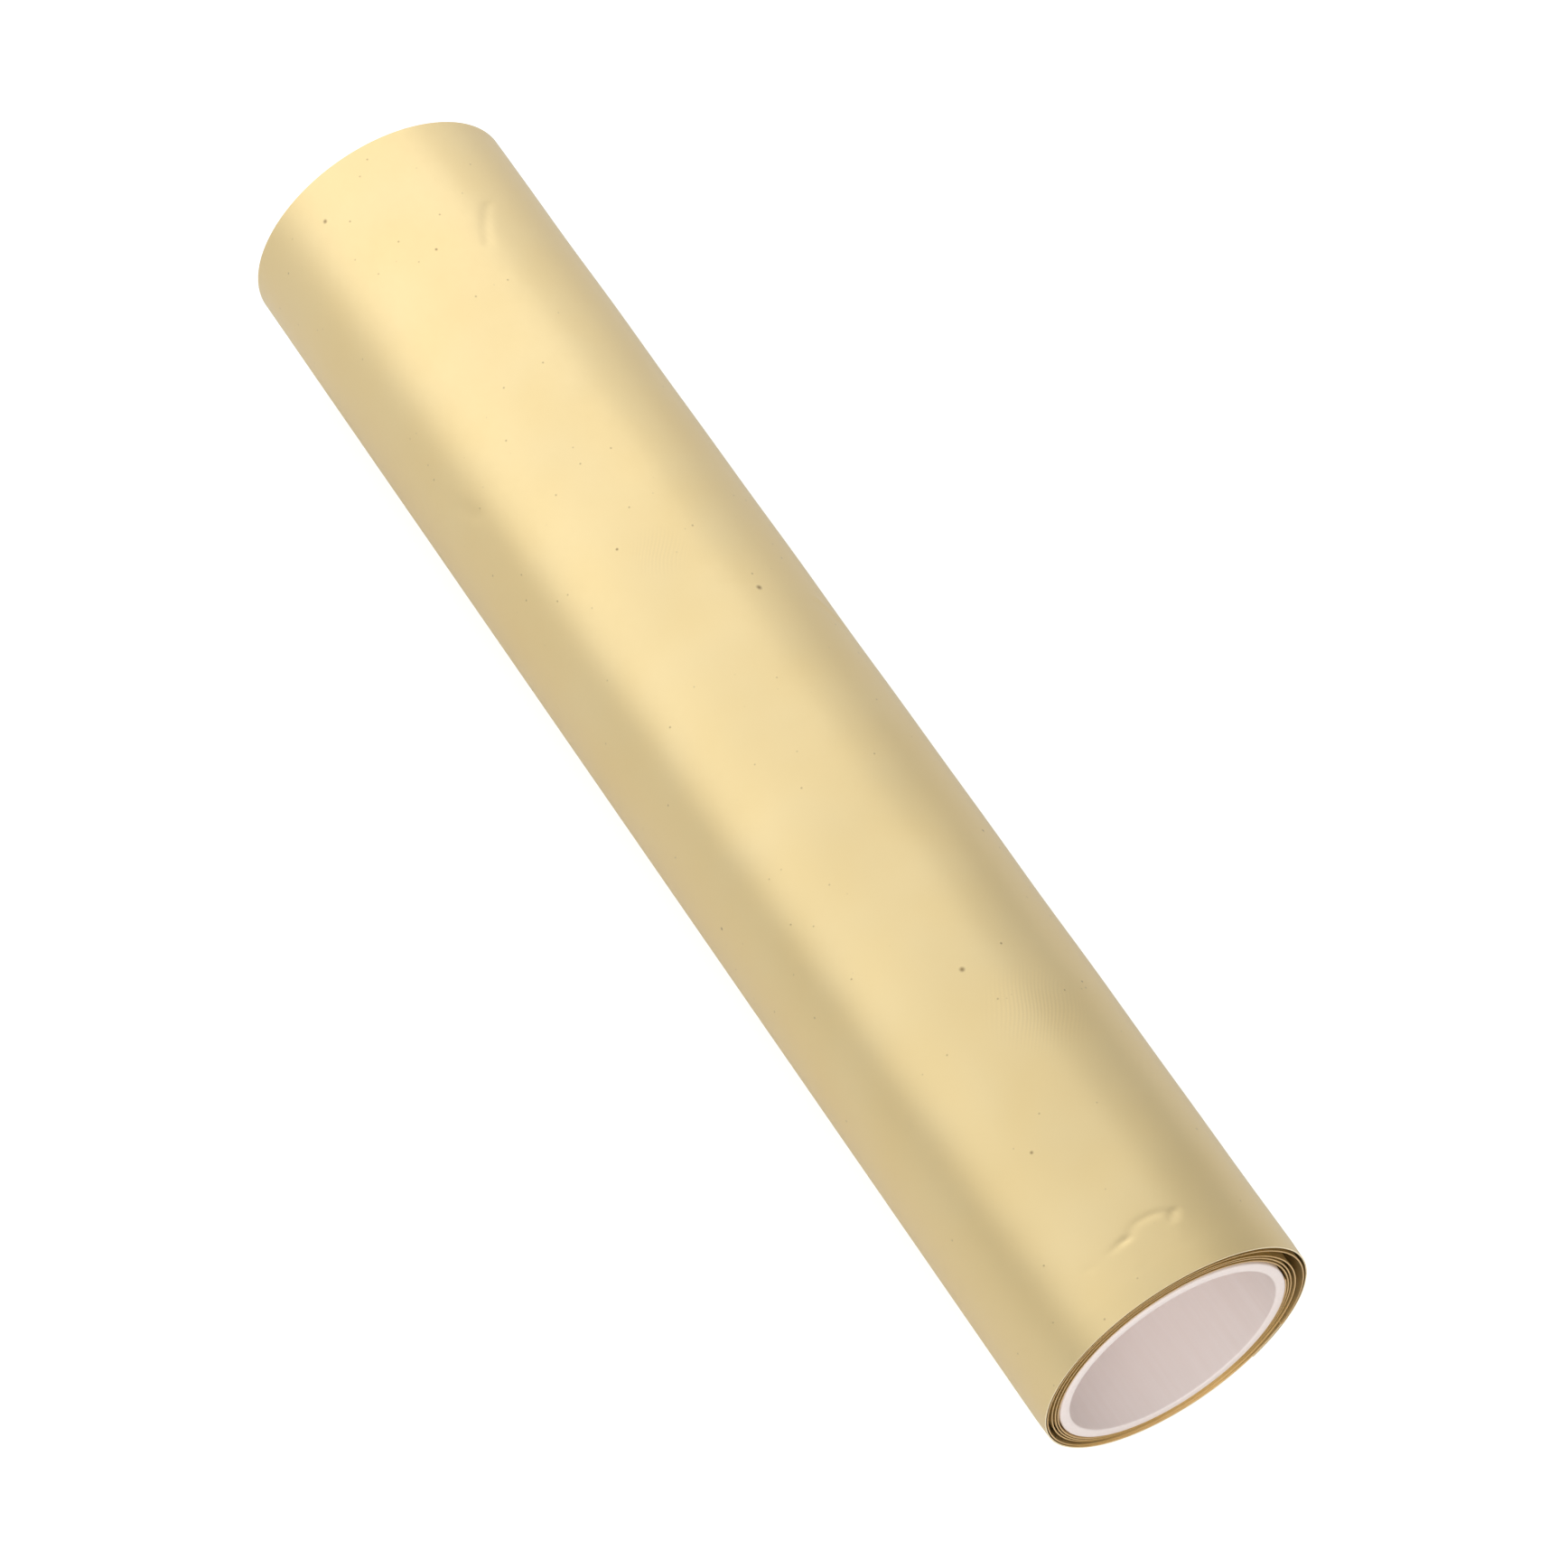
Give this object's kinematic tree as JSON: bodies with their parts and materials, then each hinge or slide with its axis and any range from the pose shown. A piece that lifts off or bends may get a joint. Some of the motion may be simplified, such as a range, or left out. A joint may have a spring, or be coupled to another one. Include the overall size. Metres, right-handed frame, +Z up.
{
  "type": "roll of sign vinyl",
  "caption": "Small roll of gold metallised self-adhesive vinyl with its release liner, wound slack on a white plastic core tube.",
  "frame": {"origin": "middle of the core tube, on its axis", "axes": "+X along the core's axis, +Z up with the roll lying on its side, +Y towards the side where the web's free end hangs"},
  "size_m": [0.305, 0.0588, 0.0587],
  "materials": {
    "core_plastic": "extruded white plastic, satin",
    "tape": "translucent double-sided tape",
    "liner": "thin clear liner that shows the gold behind it",
    "gold_film": "pale gold metallised film, satin"
  },
  "bodies": {
    "roll": {"core_tube": "core_plastic", "starting_tape": "tape", "release_liner": "liner", "face_film": "gold_film"},
    "loose_end": {"loose_liner": "liner", "loose_film": "gold_film"},
    "peeled_end": {"peeling_film": "gold_film"}
  },
  "joints": [
    {"name": "loose_end_lift", "type": "hinge", "parent": "roll", "child": "loose_end", "pos_m": [0, 0.02903, 0.00754], "axis": [1, 0, 0], "range_deg": [0, 90]},
    {"name": "film_peel", "type": "hinge", "parent": "loose_end", "child": "peeled_end", "pos_m": [0, 0.02847, -0.0052], "axis": [1, 0, 0], "range_deg": [0, 120]}
  ]
}
